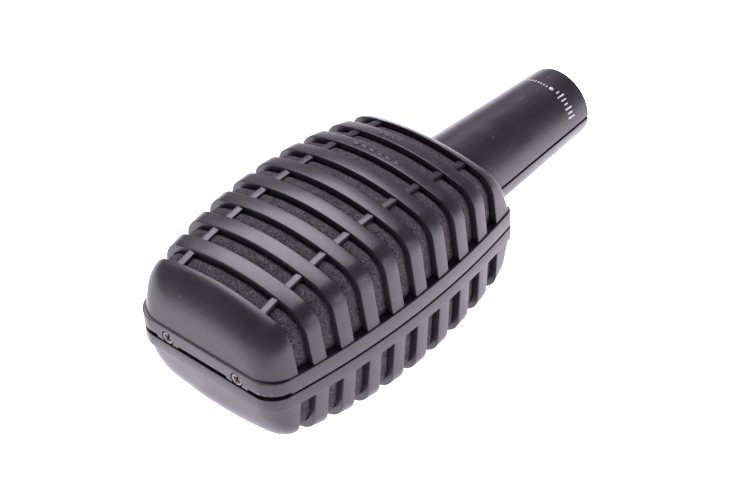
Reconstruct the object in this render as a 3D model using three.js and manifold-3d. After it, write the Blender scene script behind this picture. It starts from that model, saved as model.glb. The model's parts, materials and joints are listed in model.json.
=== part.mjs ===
// A side-address moving-coil microphone with a slotted barrel head and a round tapered handle.
// Millimetres. Pieces are drawn with x = 0 at the head's free end, +X along the handle to its
// connector, +Y across the head, +Z out through the front grille, and z = 0 on the parting plane
// where the front and rear shells meet. The last group stands the whole part on z = 0.

import * as THREE from "three";
import { mergeVertices } from "three/addons/utils/BufferGeometryUtils.js";
import Module from "manifold-3d";

// Head outline
const HEAD_LENGTH = 103;
const HALF_SPAN = 60; // distance from the widest place over which the bulges are given
const HALF_WIDTH = 32.95;
const WIDEST_X = 53.7;
const WIDTH_BULGE = 7.31;
const CROWN_HEIGHT = 29.97;
const HIGHEST_X = 54.3;
const CROWN_BULGE = 11.26;
const CROWN_ARC_RADIUS = 83; // across the head
const SIDE_DRAFT = THREE.MathUtils.degToRad(7);
const EDGE_RADIUS = 8.4; // between crown and side wall
const FREE_CORNER_RADIUS = 6.4; // of the flange, in plan
const NECK_CORNER_RADIUS = 2.2;
const DOME_CORNER_EXTRA = 0.9; // the dome turns its corners this much wider than the flange
const SMALLEST_CORNER = 0.5;
const FREE_ROLL = 8; // end wall into crown
const NECK_ROLL = 2.5;
const FREE_LEAN = 0.16; // mm along X for each mm of height above the flange
const NECK_LEAN = 0.27;

// Shell walls
const WALL = 2.4;
const FLANGE_LEDGE = 0.5; // the flange stands this far outside the ribs
const FRONT_FLANGE = 5.7;
const REAR_FLANGE = 4.7;
const HEAD_GAP = 0.65; // between the two flanges
const HANDLE_GAP = 0.3;
const FIT_GAP = 0.3; // between pieces that touch
const REBATE_INSET = 1.6;
const REBATE_HEIGHT = 1.2;
const END_RECESS_HEIGHT = 1.2; // the front flange is relieved beside its screw tabs
const END_RECESS_LENGTH = 7;
const TAB_INNER = 9.7;
const TAB_OUTER = 18;

// Grille
const SLOTS = 9;
const FIRST_SLOT_X = 10;
const SLOT_WIDTH = 5.15;
const SLOT_PITCH = 9.88;
const LAST_SLOT_END = FIRST_SLOT_X + (SLOTS - 1) * SLOT_PITCH + SLOT_WIDTH;
const RUNG_INNER = 15.05;
const RUNG_WIDTH = 2.5;
const RUNG_DEPTH = 1.3;
const RUNG_RECESS = 2.2; // rung top below the crown line
const RUNG_ROOT = 1.2; // how far each end runs into the cap and the neck rim

// Handle and its connector inlet
const TOTAL_LENGTH = 160.4;
const HANDLE_END_RADIUS = 12;
const HANDLE_TAPER = 0.0495; // radius gained for each mm towards the head
const HANDLE_WALL = 2.2;
const HANDLE_ROOT_X = 98;
const HANDLE_EDGE = 0.6;
const SOCKET_RADIUS = 9.7;
const SOCKET_STEP_X = 140;
const INSERT_FLANGE = 2.7;
const INSERT_FRONT_X = 146;
const PIN_RADIUS = 1.2;
const PIN_CIRCLE = 4.75;
const PIN_BACK_X = 133;
const PIN_TIP_X = 158;
const KEYWAY = 1.6;

// End screws
const SCREW_Y = 13.8;
const SCREW_Z = 2.1;
const SCREW_HEAD_RADIUS = 2;
const SCREW_HEAD_HEIGHT = 1.2;
const SCREW_SHANK_RADIUS = 1;
const SCREW_LENGTH = 8;
const RECESS_ARM = 1.3;
const RECESS_WIDTH = 0.5;
const RECESS_DEPTH = 0.7;
const LUG_WIDTH = 6.6;
const LUG_LENGTH = 6;
const LUG_TOP = 4.4;
const LUG_FOOT = 8;

// Foam liners and the plate that carries the capsule
const FOAM_THICKNESS = 4.2;
const FOAM_FOOT = 1.5;
const PLATE_THICKNESS = 1.8;
const PLATE_WINDOW_LENGTH = 9;
const PLATE_WINDOW_WIDTH = 30;
const CAPSULE_X = 52;
const PLATE_HOLE_RADIUS = 22.5;

// Capsule, turned about an axis along Z through CAPSULE_X
const HOUSING_RADIUS = 20;
const HOUSING_BORE = 18.2;
const HOUSING_TOP = 7.6;
const HOUSING_BOTTOM = -10.6;
const WEB_TOP = 2.2;
const WEB_THICKNESS = 2.4;
const POT_RADIUS = 15;
const POT_BORE = 12.8;
const POT_BOTTOM = -8;
const POT_FLOOR = 2.4;
const POT_TOP = 1.3;
const MAGNET_RADIUS = 8.8;
const POLE_RADIUS = 9.2;
const POLE_THICKNESS = 1.6;
const POLE_TOP = 1.3;
const COIL_INNER = 9.55;
const COIL_OUTER = 10.25;
const COIL_BOTTOM = -1.4;
const COIL_TOP = 2.35;
const GAP_OUTER = 10.6;
const DIAPHRAGM_RADIUS = 17.4;
const DIAPHRAGM_SKIN = 0.4;
const DIAPHRAGM_Z = 2.7;
const DOME_RISE = 1.9;
const SURROUND_RISE = 1.3;
const CLAMP_INNER = 15.6;
const CLAMP_BOTTOM = 3.6;
const CLAMP_TOP = 5.4;
const GRID_THICKNESS = 1;
const GRID_RADIUS = 17.9;
const GRID_HOLES = 8;
const GRID_HOLE_RADIUS = 2.6;
const GRID_HOLE_CIRCLE = 12;
const CLOTH_THICKNESS = 0.6;
const RING_OUTER = 25;
const RING_HEIGHT = 3;

// Transformer and leads
const CORE_X = 112;
const CORE_LENGTH = 14;
const CORE_WIDTH = 15;
const CORE_HEIGHT = 6;
const CORE_LEG = 3;
const WINDING_LENGTH = 7.2;
const WINDING_WALL = 2;
const LEAD_RADIUS = 0.5;
const LEAD_Y = 4;

const ROUND = 24; // sides of a turned piece
const HANDLE_SIDES = 32;
const SMALL_ROUND = 12;
const SKIN_STEPS = 3;
const ROLL_STEPS = 3;
const ARC_SEGMENTS = 2;
const CROWN_FLATS = 5; // odd, so that the head lies still on the middle one
const CLEAR = 5; // how far a cutter runs past what it cuts

const blackMetal = { color: 0x2b292d, roughness: 0.42, metalness: 0.55 };
const nickel = { color: 0xb9b1a8, roughness: 0.3, metalness: 1 };
const foam = { color: 0x2a2729, roughness: 1, metalness: 0 };
const blackPlastic = { color: 0x1a1a1b, roughness: 0.5, metalness: 0 };
const rubber = { color: 0x1c1b1b, roughness: 0.85, metalness: 0 };
const iron = { color: 0x84868a, roughness: 0.4, metalness: 1 };
const copper = { color: 0xa4572c, roughness: 0.4, metalness: 1 };
const film = { color: 0xc9b98c, roughness: 0.25, metalness: 0 };
const cloth = { color: 0x3a3a3c, roughness: 1, metalness: 0 };
const gold = { color: 0xc9a24c, roughness: 0.25, metalness: 1 };

const wasm = await Module();
wasm.setup();

function solidOf(geometry) {
  const bare = geometry.clone();
  bare.deleteAttribute("normal");
  bare.deleteAttribute("uv");
  const merged = mergeVertices(bare);
  const mesh = new wasm.Mesh({
    numProp: 3,
    vertProperties: Float32Array.from(merged.attributes.position.array),
    triVerts: Uint32Array.from(merged.index.array),
  });
  return new wasm.Manifold(mesh);
}

function geometryOf(solid) {
  const mesh = solid.getMesh();
  const geometry = new THREE.BufferGeometry();
  geometry.setAttribute("position", new THREE.BufferAttribute(mesh.vertProperties, 3));
  geometry.setIndex(new THREE.BufferAttribute(mesh.triVerts, 1));
  geometry.computeVertexNormals();
  return geometry;
}

// A box from its lowest to its highest corner.
function block(low, high) {
  const size = high.map((value, axis) => value - low[axis]);
  const middle = high.map((value, axis) => (value + low[axis]) / 2);
  return new THREE.BoxGeometry(...size).translate(...middle);
}

// A closed ring or disc of [radius, height] corners, turned about Z.
function turned(profile, sides = ROUND) {
  const corners = [...profile, profile[0]].map(([radius, height]) => new THREE.Vector2(radius, height));
  return new THREE.LatheGeometry(corners, sides).rotateX(Math.PI / 2);
}

// The same, turned about X: its heights run along +X.
function turnedAlongX(profile, sides = ROUND) {
  return turned(profile, sides).rotateY(Math.PI / 2);
}

function ring(inner, outer, bottom, top) {
  return turned([[inner, bottom], [outer, bottom], [outer, top], [inner, top]]);
}

function disc(radius, bottom, top) {
  return turned([[0, bottom], [radius, bottom], [radius, top], [0, top]]);
}

function shapeOf(points) {
  return new THREE.Shape(points.map(([x, y]) => new THREE.Vector2(x, y)));
}

// A plan outline raised along Z.
function raised(shape, bottom, top, curveSegments = ARC_SEGMENTS) {
  const options = { depth: top - bottom, bevelEnabled: false, curveSegments };
  return new THREE.ExtrudeGeometry(shape, options).translate(0, 0, bottom);
}

function halfWidth(x) {
  return HALF_WIDTH - WIDTH_BULGE * ((x - WIDEST_X) / HALF_SPAN) ** 2;
}

function crownHeight(x) {
  return CROWN_HEIGHT - CROWN_BULGE * ((x - HIGHEST_X) / HALF_SPAN) ** 2;
}

// How far a rounded end of this radius stands in at a distance from the end face.
function roundedInset(distance, radius) {
  if (distance >= radius) {
    return 0;
  }
  return radius - Math.sqrt(radius ** 2 - (radius - distance) ** 2);
}

// Places along X from one end face to the other, closer together where the ends are rounded.
function stationsBetween(start, end, freeRadius, neckRadius) {
  const places = [];
  for (let step = 0; step <= ROLL_STEPS; step += 1) {
    const share = 1 - Math.cos((step / ROLL_STEPS) * (Math.PI / 2));
    places.push(start + freeRadius * share, end - neckRadius * share);
  }
  for (let slot = 0; slot < SLOTS; slot += 1) {
    const x = FIRST_SLOT_X + SLOT_WIDTH + slot * SLOT_PITCH;
    if (x > start + freeRadius + 1 && x < end - neckRadius - 1) {
      places.push(x);
    }
  }
  return places.sort((a, b) => a - b);
}

// The head's plan outline at the flange, moved in by an inset.
function planOutline(inset) {
  const free = FREE_CORNER_RADIUS - inset;
  const neck = Math.max(NECK_CORNER_RADIUS - inset, SMALLEST_CORNER);
  const end = HEAD_LENGTH - inset;
  const side = stationsBetween(inset, end, free, neck).map((x) => {
    const corner = roundedInset(x - inset, free) + roundedInset(end - x, neck);
    return [x, halfWidth(x) - inset - corner];
  });
  const far = side.map(([x, y]) => [x, -y]);
  return shapeOf([...far, ...side.reverse()]);
}

// Half of the head's cross-section at mid-length, y across and z up, from the parting plane.
function headSection() {
  const base = HALF_WIDTH - FLANGE_LEDGE;
  const inward = new THREE.Vector2(-Math.cos(SIDE_DRAFT), -Math.sin(SIDE_DRAFT));
  const upward = new THREE.Vector2(-Math.sin(SIDE_DRAFT), Math.cos(SIDE_DRAFT));
  const crownCentre = new THREE.Vector2(0, CROWN_HEIGHT - CROWN_ARC_RADIUS);
  const start = new THREE.Vector2(base, FRONT_FLANGE).addScaledVector(inward, EDGE_RADIUS);
  const offset = start.clone().sub(crownCentre);
  const along = offset.dot(upward);
  const reach = (CROWN_ARC_RADIUS - EDGE_RADIUS) ** 2 - offset.lengthSq() + along ** 2;
  const centre = start.addScaledVector(upward, Math.sqrt(reach) - along);
  const tangent = Math.atan2(centre.y - crownCentre.y, centre.x);
  const section = new THREE.Shape();
  section.moveTo(-base, 0);
  section.lineTo(base, 0);
  section.lineTo(base, FRONT_FLANGE);
  section.absarc(centre.x, centre.y, EDGE_RADIUS, SIDE_DRAFT, tangent);
  const flat = (Math.PI - 2 * tangent) / CROWN_FLATS;
  const cornerRadius = CROWN_ARC_RADIUS / Math.cos(flat / 2);
  for (let corner = 1; corner < CROWN_FLATS; corner += 1) {
    const angle = tangent + corner * flat;
    section.lineTo(cornerRadius * Math.cos(angle), crownCentre.y + cornerRadius * Math.sin(angle));
  }
  section.absarc(-centre.x, centre.y, EDGE_RADIUS, Math.PI - tangent, Math.PI - SIDE_DRAFT);
  section.lineTo(-base, FRONT_FLANGE);
  return section;
}

// The domed half head, moved in by an inset on every side but the parting plane.
function headDome(inset) {
  const start = FLANGE_LEDGE + inset;
  const end = HEAD_LENGTH - FLANGE_LEDGE - inset;
  const freeRoll = Math.max(FREE_ROLL - inset, 1);
  const neckRoll = Math.max(NECK_ROLL - inset, 1);
  const freeCorner = FREE_CORNER_RADIUS + DOME_CORNER_EXTRA - Math.min(inset, WALL);
  const neckCorner = Math.max(NECK_CORNER_RADIUS - inset, SMALLEST_CORNER);
  const stations = stationsBetween(start, end, freeRoll, neckRoll);
  const geometry = new THREE.ExtrudeGeometry(headSection(), {
    steps: stations.length - 1,
    depth: 1,
    bevelEnabled: false,
    curveSegments: ARC_SEGMENTS,
  });
  const position = geometry.attributes.position;
  for (let i = 0; i < position.count; i += 1) {
    const x = stations[Math.round(position.getZ(i) * (stations.length - 1))];
    const corner = roundedInset(x - start, freeCorner) + roundedInset(end - x, neckCorner);
    const roll = roundedInset(x - start, freeRoll) + roundedInset(end - x, neckRoll);
    const width = halfWidth(x) - FLANGE_LEDGE - inset - corner;
    const height = crownHeight(x) - inset - roll;
    const y = (position.getX(i) * width) / (HALF_WIDTH - FLANGE_LEDGE);
    const z = (position.getY(i) * height) / CROWN_HEIGHT;
    position.setXYZ(i, x + lean(x, z), y, z);
  }
  return geometry;
}

// The end walls lean towards the middle above the flange; the grille between them stays upright.
function lean(x, z) {
  const rise = Math.max(0, z - FRONT_FLANGE);
  const freeShare = Math.max(0, 1 - x / FIRST_SLOT_X);
  const neckShare = Math.max(0, (x - LAST_SLOT_END) / (HEAD_LENGTH - LAST_SLOT_END));
  return rise * (FREE_LEAN * freeShare - NECK_LEAN * neckShare);
}

function handleRadius(x) {
  return HANDLE_END_RADIUS + HANDLE_TAPER * (TOTAL_LENGTH - x);
}

function handleOuter() {
  return turnedAlongX([
    [0, HANDLE_ROOT_X],
    [handleRadius(HANDLE_ROOT_X), HANDLE_ROOT_X],
    [handleRadius(TOTAL_LENGTH - HANDLE_EDGE), TOTAL_LENGTH - HANDLE_EDGE],
    [HANDLE_END_RADIUS - HANDLE_EDGE, TOTAL_LENGTH],
    [0, TOTAL_LENGTH],
  ], HANDLE_SIDES);
}

function handleBore() {
  const start = HANDLE_ROOT_X - CLEAR;
  return turnedAlongX([
    [0, start],
    [handleRadius(start) - HANDLE_WALL, start],
    [handleRadius(SOCKET_STEP_X) - HANDLE_WALL, SOCKET_STEP_X],
    [SOCKET_RADIUS, SOCKET_STEP_X],
    [SOCKET_RADIUS, TOTAL_LENGTH + CLEAR],
    [0, TOTAL_LENGTH + CLEAR],
  ]);
}

// One bar that ties the ribs together just under their outer face.
function rung(y) {
  const places = [FIRST_SLOT_X - RUNG_ROOT];
  for (let slot = 0; slot <= SLOTS - 1; slot += 1) {
    places.push(FIRST_SLOT_X + slot * SLOT_PITCH + SLOT_WIDTH);
  }
  places.push(LAST_SLOT_END + RUNG_ROOT);
  const top = places.map((x) => [x, crownHeight(x) - RUNG_RECESS]);
  const bottom = top.map(([x, z]) => [x, z - RUNG_DEPTH]);
  const outline = shapeOf([...bottom, ...top.reverse()]);
  return raised(outline, 0, RUNG_WIDTH).rotateX(Math.PI / 2).translate(0, y + RUNG_WIDTH, 0);
}

// A half shell with its front outwards along +Z: domed cap, ribs, flange and half of the handle.
function shellSolid(flangeHeight) {
  let shell = solidOf(headDome(0)).add(solidOf(raised(planOutline(0), 0, flangeHeight)));
  shell = shell.add(solidOf(handleOuter()));
  shell = shell.subtract(solidOf(headDome(WALL)));
  shell = shell.subtract(solidOf(raised(planOutline(REBATE_INSET), -CLEAR, REBATE_HEIGHT)));
  for (let slot = 0; slot < SLOTS; slot += 1) {
    const x = FIRST_SLOT_X + slot * SLOT_PITCH;
    const low = [x, -HALF_WIDTH - CLEAR, flangeHeight];
    const high = [x + SLOT_WIDTH, HALF_WIDTH + CLEAR, CROWN_HEIGHT + CLEAR];
    shell = shell.subtract(solidOf(block(low, high)));
  }
  shell = shell.add(solidOf(rung(RUNG_INNER))).add(solidOf(rung(-RUNG_INNER - RUNG_WIDTH)));
  shell = shell.subtract(solidOf(handleBore()));
  const across = HALF_WIDTH + CLEAR;
  const below = -CROWN_HEIGHT - CLEAR;
  shell = shell.subtract(solidOf(block([-CLEAR, -across, below], [HEAD_LENGTH, across, HEAD_GAP / 2])));
  const handleCut = block(
    [HEAD_LENGTH - 1, -across, below],
    [TOTAL_LENGTH + CLEAR, across, HANDLE_GAP / 2],
  );
  return shell.subtract(solidOf(handleCut));
}

function screwHole(y) {
  const head = SCREW_HEAD_RADIUS + FIT_GAP;
  const shank = SCREW_SHANK_RADIUS + FIT_GAP;
  const hole = turnedAlongX([
    [0, -CLEAR],
    [head, -CLEAR],
    [head, FIT_GAP],
    [shank, SCREW_HEAD_HEIGHT + FIT_GAP],
    [shank, SCREW_LENGTH + CLEAR],
    [0, SCREW_LENGTH + CLEAR],
  ], SMALL_ROUND);
  return hole.translate(0, y, SCREW_Z);
}

// The relieved stretches of the front flange's end face, beside and between the screw tabs.
function endRecesses() {
  const stretches = [
    [-HALF_WIDTH - CLEAR, -TAB_OUTER],
    [-TAB_INNER, TAB_INNER],
    [TAB_OUTER, HALF_WIDTH + CLEAR],
  ];
  return stretches.map(([low, high]) =>
    block([-CLEAR, low, -CLEAR], [END_RECESS_LENGTH, high, END_RECESS_HEIGHT]));
}

function frontShell() {
  let shell = shellSolid(FRONT_FLANGE);
  for (const recess of endRecesses()) {
    shell = shell.subtract(solidOf(recess));
  }
  for (const y of [SCREW_Y, -SCREW_Y]) {
    shell = shell.subtract(solidOf(screwHole(y)));
  }
  return geometryOf(shell);
}

// The rear shell carries two lugs that reach up inside the front shell for the end screws.
function rearShell() {
  let shell = solidOf(geometryOf(shellSolid(REAR_FLANGE)).rotateX(Math.PI));
  const inside = FLANGE_LEDGE + WALL + FIT_GAP;
  for (const y of [SCREW_Y, -SCREW_Y]) {
    const [low, high] = [y - LUG_WIDTH / 2, y + LUG_WIDTH / 2];
    const foot = block([FLANGE_LEDGE + 1, low, -LUG_FOOT], [inside + LUG_LENGTH, high, -REBATE_HEIGHT]);
    const post = block([inside, low, -LUG_FOOT], [inside + LUG_LENGTH, high, LUG_TOP]);
    shell = shell.add(solidOf(foot)).add(solidOf(post)).subtract(solidOf(screwHole(y)));
  }
  return geometryOf(shell);
}

// Countersunk screw with a cross recess, its head face at the origin, pointing along +X.
function endScrew() {
  let screw = solidOf(turnedAlongX([
    [0, 0],
    [SCREW_HEAD_RADIUS, 0],
    [SCREW_HEAD_RADIUS, FIT_GAP],
    [SCREW_SHANK_RADIUS, SCREW_HEAD_HEIGHT],
    [SCREW_SHANK_RADIUS, SCREW_LENGTH],
    [0, SCREW_LENGTH],
  ], SMALL_ROUND));
  const [arm, half] = [RECESS_ARM, RECESS_WIDTH / 2];
  screw = screw.subtract(solidOf(block([-CLEAR, -arm, -half], [RECESS_DEPTH, arm, half])));
  screw = screw.subtract(solidOf(block([-CLEAR, -half, -arm], [RECESS_DEPTH, half, arm])));
  return geometryOf(screw);
}

// An open-cell foam liner that follows the inside of one shell.
function foamLiner() {
  const outside = WALL + FIT_GAP;
  const across = HALF_WIDTH + CLEAR;
  const inner = headDome(outside + FOAM_THICKNESS);
  const cut = block([-CLEAR, -across, -CLEAR], [HEAD_LENGTH + CLEAR, across, FOAM_FOOT]);
  let liner = solidOf(headDome(outside)).subtract(solidOf(inner)).subtract(solidOf(cut));
  const lugLength = FLANGE_LEDGE + WALL + LUG_LENGTH + 3 * FIT_GAP;
  for (const y of [SCREW_Y, -SCREW_Y]) {
    const low = [-CLEAR, y - LUG_WIDTH / 2 - FIT_GAP, -CLEAR];
    const high = [lugLength, y + LUG_WIDTH / 2 + FIT_GAP, LUG_FOOT + FIT_GAP];
    liner = liner.subtract(solidOf(block(low, high)));
  }
  const neck = handleRadius(HEAD_LENGTH) - HANDLE_WALL;
  const opening = turnedAlongX([[0, HALF_SPAN], [neck, HALF_SPAN], [neck, HEAD_LENGTH], [0, HEAD_LENGTH]]);
  return liner.subtract(solidOf(opening));
}

// The plate clamped between the shells, with a hole for the capsule and windows at both ends.
function carrierPlate() {
  const outline = planOutline(REBATE_INSET + FIT_GAP);
  const hole = new THREE.Path();
  hole.absarc(CAPSULE_X, 0, PLATE_HOLE_RADIUS, 0, 2 * Math.PI);
  outline.holes.push(hole);
  let plate = solidOf(raised(outline, -PLATE_THICKNESS / 2, PLATE_THICKNESS / 2, SMALL_ROUND));
  const reach = PLATE_HOLE_RADIUS + FOAM_THICKNESS;
  for (const x of [CAPSULE_X - reach - PLATE_WINDOW_LENGTH, CAPSULE_X + reach]) {
    const low = [x, -PLATE_WINDOW_WIDTH / 2, -CLEAR];
    const high = [x + PLATE_WINDOW_LENGTH, PLATE_WINDOW_WIDTH / 2, CLEAR];
    plate = plate.subtract(solidOf(block(low, high)));
  }
  const lugEnd = FLANGE_LEDGE + WALL + LUG_LENGTH + 2 * FIT_GAP;
  for (const y of [SCREW_Y, -SCREW_Y]) {
    const low = [-CLEAR, y - LUG_WIDTH / 2 - FIT_GAP, -CLEAR];
    const high = [lugEnd, y + LUG_WIDTH / 2 + FIT_GAP, CLEAR];
    plate = plate.subtract(solidOf(block(low, high)));
  }
  return geometryOf(plate);
}

function holesAround(count, circle, radius, bottom, top) {
  const holes = [];
  for (let i = 0; i < count; i += 1) {
    const angle = (i / count) * 2 * Math.PI;
    const hole = turned([[0, bottom], [radius, bottom], [radius, top], [0, top]], SMALL_ROUND / 2);
    holes.push(hole.translate(circle * Math.cos(angle), circle * Math.sin(angle), 0));
  }
  return holes;
}

function drilled(geometry, holes) {
  let solid = solidOf(geometry);
  for (const hole of holes) {
    solid = solid.subtract(solidOf(hole));
  }
  return geometryOf(solid);
}

// The capsule's ring-shaped housing with a vented web that holds the magnet pot.
function capsuleHousing() {
  const bore = POT_RADIUS + FIT_GAP;
  const body = turned([
    [HOUSING_BORE, HOUSING_BOTTOM],
    [HOUSING_RADIUS, HOUSING_BOTTOM],
    [HOUSING_RADIUS, HOUSING_TOP],
    [HOUSING_BORE, HOUSING_TOP],
    [HOUSING_BORE, WEB_TOP],
    [bore, WEB_TOP],
    [bore, WEB_TOP - WEB_THICKNESS],
    [HOUSING_BORE, WEB_TOP - WEB_THICKNESS],
  ]);
  const circle = (bore + HOUSING_BORE) / 2;
  return drilled(body, holesAround(GRID_HOLES, circle, 1, -CLEAR, CLEAR));
}

function magnetPot() {
  const body = turned([
    [0, POT_BOTTOM],
    [POT_RADIUS, POT_BOTTOM],
    [POT_RADIUS, POT_TOP],
    [POT_BORE, POT_TOP],
    [POT_BORE, POT_BOTTOM + POT_FLOOR],
    [0, POT_BOTTOM + POT_FLOOR],
  ]);
  const circle = (MAGNET_RADIUS + POT_BORE) / 2;
  return drilled(body, holesAround(GRID_HOLES, circle, 1.2, POT_BOTTOM - CLEAR, 0));
}

function perforatedDisc(bottom) {
  const holes = holesAround(GRID_HOLES, GRID_HOLE_CIRCLE, GRID_HOLE_RADIUS, bottom - CLEAR, bottom + CLEAR);
  holes.push(disc(GRID_HOLE_CIRCLE / 3, bottom - CLEAR, bottom + CLEAR));
  return drilled(disc(GRID_RADIUS, bottom, bottom + GRID_THICKNESS), holes);
}

// A thin skin: domed over the voice coil, rolled between the coil and the clamped rim.
function diaphragm() {
  const under = [];
  for (let i = 0; i <= SKIN_STEPS; i += 1) {
    const share = i / SKIN_STEPS;
    under.push([COIL_OUTER * share, DIAPHRAGM_Z + DOME_RISE * (1 - share ** 2)]);
  }
  const width = CLAMP_INNER - COIL_OUTER;
  for (let i = 1; i <= SKIN_STEPS; i += 1) {
    const share = i / SKIN_STEPS;
    under.push([COIL_OUTER + width * share, DIAPHRAGM_Z + SURROUND_RISE * Math.sin(Math.PI * share)]);
  }
  under.push([DIAPHRAGM_RADIUS, DIAPHRAGM_Z]);
  const upper = under.map(([radius, z]) => [radius, z + DIAPHRAGM_SKIN]).reverse();
  return turned([...under, ...upper]);
}

// Laminated core with two windows, and the winding round its middle leg.
function transformerCore() {
  const shape = shapeOf([
    [0, -CORE_WIDTH / 2],
    [CORE_LENGTH, -CORE_WIDTH / 2],
    [CORE_LENGTH, CORE_WIDTH / 2],
    [0, CORE_WIDTH / 2],
  ]);
  const window = (CORE_WIDTH - 3 * CORE_LEG) / 2;
  for (const y of [CORE_LEG / 2, -CORE_LEG / 2 - window]) {
    const hole = new THREE.Path([
      new THREE.Vector2(CORE_LEG, y),
      new THREE.Vector2(CORE_LEG, y + window),
      new THREE.Vector2(CORE_LENGTH - CORE_LEG, y + window),
      new THREE.Vector2(CORE_LENGTH - CORE_LEG, y),
    ]);
    shape.holes.push(hole);
  }
  return raised(shape, -CORE_HEIGHT / 2, CORE_HEIGHT / 2);
}

function transformerWinding() {
  const start = (CORE_LENGTH - WINDING_LENGTH) / 2;
  const inner = [CORE_LEG / 2 + FIT_GAP, CORE_HEIGHT / 2 + FIT_GAP];
  const outer = inner.map((value) => value + WINDING_WALL);
  const around = block([start, -outer[0], -outer[1]], [start + WINDING_LENGTH, outer[0], outer[1]]);
  const leg = block([-CLEAR, -inner[0], -inner[1]], [CORE_LENGTH + CLEAR, inner[0], inner[1]]);
  return geometryOf(solidOf(around).subtract(solidOf(leg)));
}

function lead(points) {
  const path = new THREE.CatmullRomCurve3(points.map((point) => new THREE.Vector3(...point)));
  const section = new THREE.Shape();
  section.absarc(0, 0, LEAD_RADIUS, 0, 2 * Math.PI);
  return new THREE.ExtrudeGeometry(section, {
    steps: 8,
    curveSegments: 3,
    extrudePath: path,
  });
}

function pinPlaces() {
  const angles = [0, Math.PI, -Math.PI / 2];
  return angles.map((angle) => [PIN_CIRCLE * Math.cos(angle), PIN_CIRCLE * Math.sin(angle)]);
}

// The insulating insert: a flange trapped behind the handle's step, and a nose in the socket.
function inletInsert() {
  const nose = SOCKET_RADIUS - FIT_GAP;
  const flange = handleRadius(SOCKET_STEP_X) - HANDLE_WALL - FIT_GAP;
  const back = SOCKET_STEP_X - FIT_GAP - INSERT_FLANGE;
  let insert = solidOf(turnedAlongX([
    [0, back],
    [flange, back],
    [flange, SOCKET_STEP_X - FIT_GAP],
    [nose, SOCKET_STEP_X - FIT_GAP],
    [nose, INSERT_FRONT_X],
    [0, INSERT_FRONT_X],
  ]));
  const hole = PIN_RADIUS + FIT_GAP;
  for (const [y, z] of pinPlaces()) {
    const profile = [[0, back - CLEAR], [hole, back - CLEAR], [hole, TOTAL_LENGTH], [0, TOTAL_LENGTH]];
    const bore = turnedAlongX(profile, SMALL_ROUND);
    insert = insert.subtract(solidOf(bore.translate(0, y, z)));
  }
  const key = block([SOCKET_STEP_X, -KEYWAY / 2, nose - KEYWAY], [TOTAL_LENGTH, KEYWAY / 2, nose + CLEAR]);
  return geometryOf(insert.subtract(solidOf(key)));
}

function contactPin() {
  return turnedAlongX([
    [0, PIN_BACK_X],
    [PIN_RADIUS, PIN_BACK_X],
    [PIN_RADIUS, PIN_TIP_X - PIN_RADIUS],
    [PIN_RADIUS / 2, PIN_TIP_X],
    [0, PIN_TIP_X],
  ], SMALL_ROUND);
}

// A bent strip that takes the shield contact out to the shell wall.
function groundSpring() {
  const back = SOCKET_STEP_X - 2 * FIT_GAP - INSERT_FLANGE;
  const wall = handleRadius(PIN_BACK_X) - HANDLE_WALL - 2 * FIT_GAP;
  const inner = PIN_CIRCLE + PIN_RADIUS + FIT_GAP;
  const strip = shapeOf([
    [back - 0.5, inner],
    [back, inner],
    [back, wall],
    [PIN_BACK_X - 1, wall],
    [PIN_BACK_X - 1, wall - 0.5],
    [back - 0.5, wall - 0.5],
  ]);
  return raised(strip, -1.5, 1.5);
}

const part = new THREE.Group();
part.position.set(-TOTAL_LENGTH / 2, 0, CROWN_HEIGHT);
const capsule = new THREE.Group();
capsule.position.x = CAPSULE_X;
const transformer = new THREE.Group();
transformer.position.x = CORE_X;
part.add(capsule, transformer);

function addPiece(parent, name, geometry, finish) {
  const mesh = new THREE.Mesh(geometry, new THREE.MeshStandardMaterial(finish));
  mesh.name = name;
  parent.add(mesh);
  return mesh;
}

addPiece(part, "front_shell", frontShell(), blackMetal);
addPiece(part, "rear_shell", rearShell(), blackMetal);
for (const [name, y] of [["end_screw_left", SCREW_Y], ["end_screw_right", -SCREW_Y]]) {
  addPiece(part, name, endScrew(), nickel).position.set(0, y, SCREW_Z);
}
addPiece(part, "front_foam_liner", geometryOf(foamLiner()), foam);
addPiece(part, "rear_foam_liner", geometryOf(foamLiner()), foam).rotation.x = Math.PI;
addPiece(part, "carrier_plate", carrierPlate(), blackPlastic);

const ringFoot = PLATE_THICKNESS / 2 + FIT_GAP;
const ringInner = HOUSING_RADIUS + FIT_GAP;
const suspension = () => ring(ringInner, RING_OUTER, ringFoot, ringFoot + RING_HEIGHT);
addPiece(capsule, "front_suspension_ring", suspension(), rubber);
addPiece(capsule, "rear_suspension_ring", suspension(), rubber).rotation.x = Math.PI;
addPiece(capsule, "capsule_housing", capsuleHousing(), blackPlastic);
addPiece(capsule, "magnet_pot", magnetPot(), iron);
const magnetBottom = POT_BOTTOM + POT_FLOOR + FIT_GAP;
const magnetTop = POLE_TOP - POLE_THICKNESS - FIT_GAP;
addPiece(capsule, "magnet", disc(MAGNET_RADIUS, magnetBottom, magnetTop), iron);
addPiece(capsule, "pole_piece", disc(POLE_RADIUS, POLE_TOP - POLE_THICKNESS, POLE_TOP), iron);
const topPlate = ring(GAP_OUTER, POT_BORE - FIT_GAP, POLE_TOP - POLE_THICKNESS, POLE_TOP);
addPiece(capsule, "top_plate", topPlate, iron);
addPiece(capsule, "voice_coil", ring(COIL_INNER, COIL_OUTER, COIL_BOTTOM, COIL_TOP), copper);
addPiece(capsule, "diaphragm", diaphragm(), film);
addPiece(capsule, "clamp_ring", ring(CLAMP_INNER, GRID_RADIUS, CLAMP_BOTTOM, CLAMP_TOP), blackPlastic);
addPiece(capsule, "front_grid", perforatedDisc(HOUSING_TOP - GRID_THICKNESS - FIT_GAP), blackMetal);
const clothBottom = POT_BOTTOM - FIT_GAP - CLOTH_THICKNESS;
addPiece(capsule, "rear_damping_cloth", disc(GRID_RADIUS, clothBottom, POT_BOTTOM - FIT_GAP), cloth);
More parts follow.
